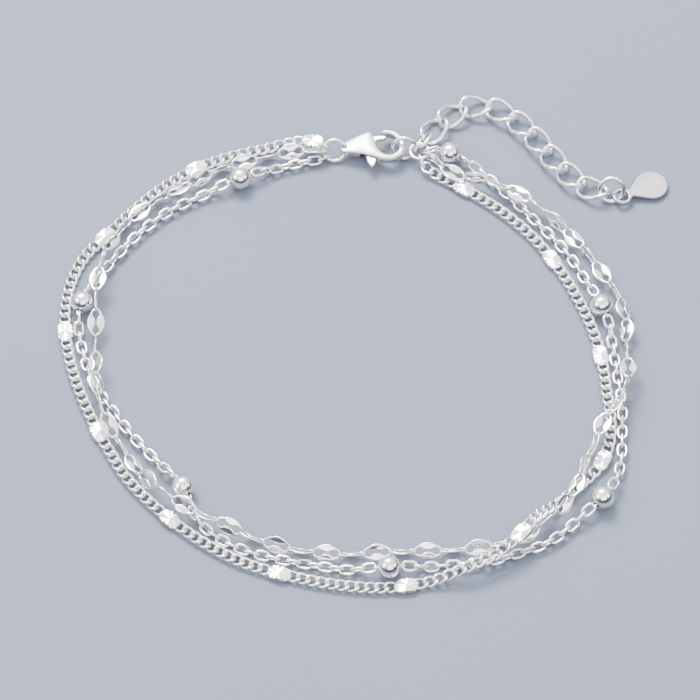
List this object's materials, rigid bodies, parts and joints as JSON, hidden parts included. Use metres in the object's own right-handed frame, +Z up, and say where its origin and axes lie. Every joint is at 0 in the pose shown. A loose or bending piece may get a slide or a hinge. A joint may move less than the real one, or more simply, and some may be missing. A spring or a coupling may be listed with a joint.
{
  "type": "chain bracelet",
  "caption": "Layered silver chain bracelet: a curb chain with star-cut plaques, a beaded cable chain and a mirror-link chain on a lobster clasp, with extender and tag.",
  "frame": {"origin": "on the surface that the bracelet lies on, under the middle of its box", "axes": "+Z up off the surface, +Y towards the clasp, +X to the right, towards the extender's tag"},
  "size_m": [0.0618, 0.0591, 0.0029],
  "materials": {
    "polished_silver": "polished",
    "satin_silver": "satin"
  },
  "bodies": {
    "bracelet": {"curb_strand": "polished_silver", "cable_strand": "polished_silver", "mirror_chain": "polished_silver", "bead_1": "polished_silver", "bead_2": "polished_silver", "bead_3": "polished_silver", "bead_4": "polished_silver", "bead_5": "polished_silver", "bead_6": "polished_silver", "bead_7": "polished_silver", "clasp_body": "satin_silver", "clasp_ring": "polished_silver", "end_ring": "polished_silver", "strand_ring": "polished_silver", "tag_ring": "polished_silver", "extender_connector": "polished_silver", "extender_link_1": "polished_silver", "extender_link_2": "polished_silver", "extender_link_3": "polished_silver", "extender_link_4": "polished_silver", "extender_link_5": "polished_silver", "extender_link_6": "polished_silver", "extender_link_7": "polished_silver", "extender_link_8": "polished_silver", "extender_link_9": "polished_silver", "tag": "satin_silver"},
    "lever": {"clasp_lever": "satin_silver"}
  },
  "joints": [
    {"name": "lever_hinge", "type": "hinge", "parent": "bracelet", "child": "lever", "pos_m": [0.00055, 0.02252, 0.0012], "axis": [0, 0, -1], "range_deg": [0, 25], "stiffness_Nm_per_rad": 0.0002, "springref_deg": -17.19}
  ]
}
